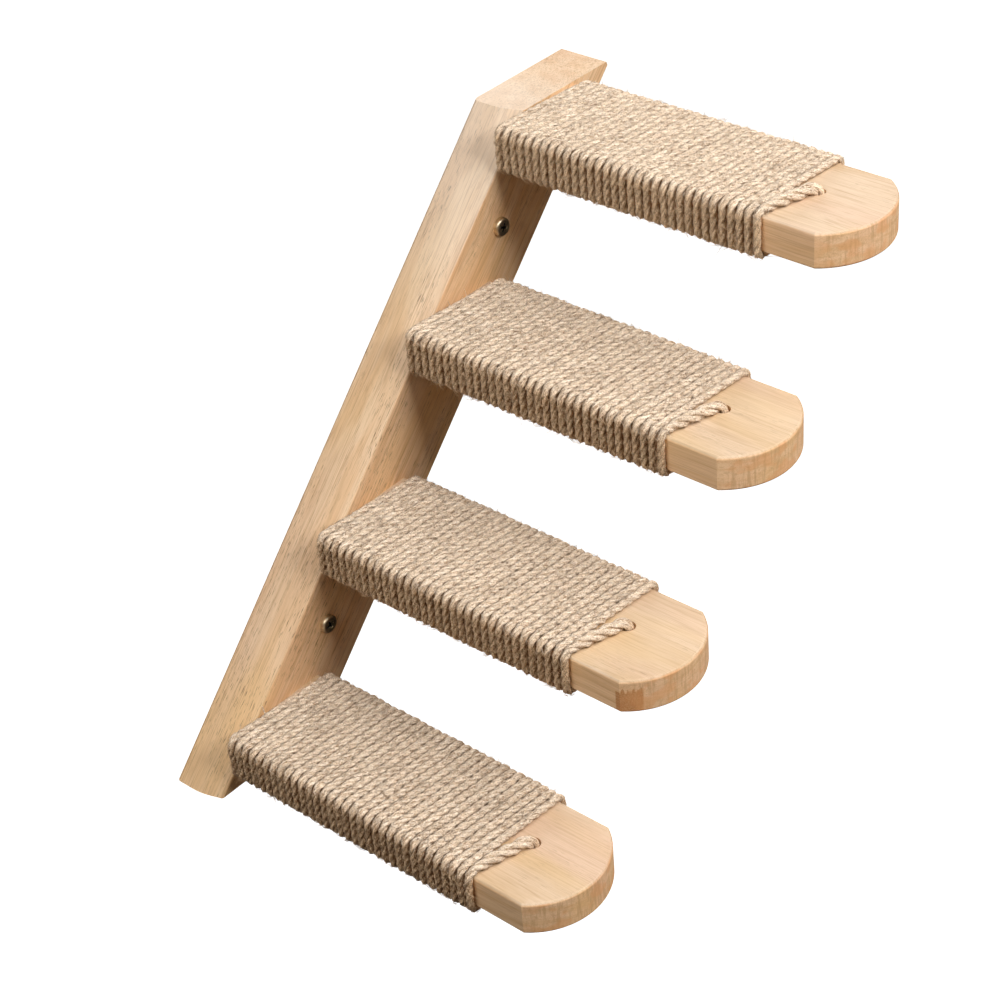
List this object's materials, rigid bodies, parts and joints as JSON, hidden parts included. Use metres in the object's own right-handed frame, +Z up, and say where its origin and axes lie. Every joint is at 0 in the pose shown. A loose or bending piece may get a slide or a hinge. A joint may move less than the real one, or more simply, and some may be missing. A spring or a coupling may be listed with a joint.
{
  "type": "cat climbing wall",
  "caption": "Leaning wooden wall board with level planks wound in jute rope, screwed to a wall as climbing steps for a cat.",
  "frame": {"origin": "on the wall plane, at the board's back face, halfway between the two wall screws", "axes": "+X to the right along the wall as seen from the room, +Y into the wall, +Z up; the planks stand out towards -Y and the board leans towards +X going up"},
  "size_m": [0.3557, 0.27, 0.2897],
  "materials": {
    "board_wood": "sanded, clear matt lacquer",
    "plank_wood": "sanded, clear matt lacquer",
    "jute_rope": "rough twisted jute",
    "wall_screw_metal": "yellow zinc plated",
    "step_screw_metal": "zinc plated"
  },
  "bodies": {
    "root": {"back_board": "board_wood", "step_plank_1": "plank_wood", "step_plank_2": "plank_wood", "step_plank_3": "plank_wood", "step_plank_4": "plank_wood", "rope_winding_1": "jute_rope", "rope_winding_2": "jute_rope", "rope_winding_3": "jute_rope", "rope_winding_4": "jute_rope", "wall_screw_lower": "wall_screw_metal", "wall_screw_upper": "wall_screw_metal", "step_screw_1_left": "step_screw_metal", "step_screw_1_right": "step_screw_metal", "step_screw_2_left": "step_screw_metal", "step_screw_2_right": "step_screw_metal", "step_screw_3_left": "step_screw_metal", "step_screw_3_right": "step_screw_metal", "step_screw_4_left": "step_screw_metal", "step_screw_4_right": "step_screw_metal"}
  },
  "joints": []
}
